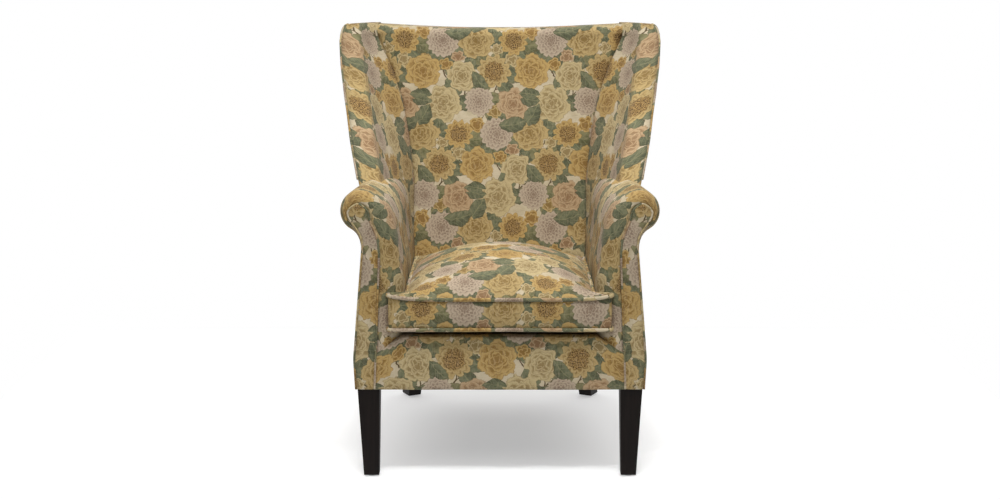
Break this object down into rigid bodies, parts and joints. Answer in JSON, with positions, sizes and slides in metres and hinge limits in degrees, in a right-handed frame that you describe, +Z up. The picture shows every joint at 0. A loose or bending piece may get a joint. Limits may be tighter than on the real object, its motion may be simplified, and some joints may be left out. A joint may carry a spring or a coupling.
{
  "type": "upholstered armchair",
  "caption": "Upholstered wing armchair in a floral print, with scroll arms, a loose piped seat cushion and dark tapered legs",
  "frame": {"origin": "bottom centre of the whole chair, on the floor", "axes": "+Z up; the chair faces -Y; +X is on the right of someone who looks at its front"},
  "size_m": [0.8588, 0.8302, 1.064],
  "materials": {
    "floral_cloth": "matte",
    "dark_wood": "satin",
    "beech": "matte",
    "foam": "matte",
    "lining": "matte",
    "hessian": "matte",
    "steel": "satin",
    "clip_plastic": "matte",
    "zip_plastic": "matte",
    "board": "matte"
  },
  "bodies": {
    "chair": {"arm_cover_left": "floral_cloth", "arm_cover_right": "floral_cloth", "arm_facing_left": "floral_cloth", "arm_facing_right": "floral_cloth", "arm_pad_left": "foam", "arm_pad_right": "foam", "arm_post_left": "beech", "arm_post_right": "beech", "arm_rail_left": "beech", "arm_rail_right": "beech", "back_hessian": "hessian", "back_liner_rail": "beech", "back_post_left": "beech", "back_post_right": "beech", "back_rail": "beech", "back_webbing": "hessian", "corner_blocks": "beech", "deck_cover": "lining", "dust_cover": "lining", "facing_piping_left": "floral_cloth", "facing_piping_right": "floral_cloth", "foot_glides": "steel", "front_border_cover": "floral_cloth", "front_edge_roll": "foam", "front_leg_left": "dark_wood", "front_leg_right": "dark_wood", "front_rail": "beech", "inside_back_cover": "floral_cloth", "inside_back_pad": "foam", "leg_bolt_nuts": "steel", "leg_bolts": "steel", "outside_arm_panel_left": "floral_cloth", "outside_arm_panel_right": "floral_cloth", "outside_back_board": "board", "outside_back_panel": "floral_cloth", "outside_wing_panel_left": "floral_cloth", "outside_wing_panel_right": "floral_cloth", "rear_leg_left": "dark_wood", "rear_leg_right": "dark_wood", "seat_deck_pad": "foam", "seat_hessian": "hessian", "seat_springs": "steel", "side_rail_left": "beech", "side_rail_right": "beech", "spring_clips": "clip_plastic", "top_back_rail": "beech", "wing_cover_left": "floral_cloth", "wing_cover_right": "floral_cloth", "wing_frame_left": "beech", "wing_frame_right": "beech", "wing_pad_left": "foam", "wing_pad_right": "foam", "wing_piping_left": "floral_cloth", "wing_piping_right": "floral_cloth"},
    "seat_cushion": {"cushion_core": "foam", "cushion_cover": "floral_cloth", "cushion_piping_bottom": "floral_cloth", "cushion_piping_top": "floral_cloth", "cushion_zip": "zip_plastic"}
  },
  "joints": [
    {"name": "cushion_lift", "type": "slide", "parent": "chair", "child": "seat_cushion", "axis": [0, 0, 1], "range_m": [0, 0.72]}
  ]
}
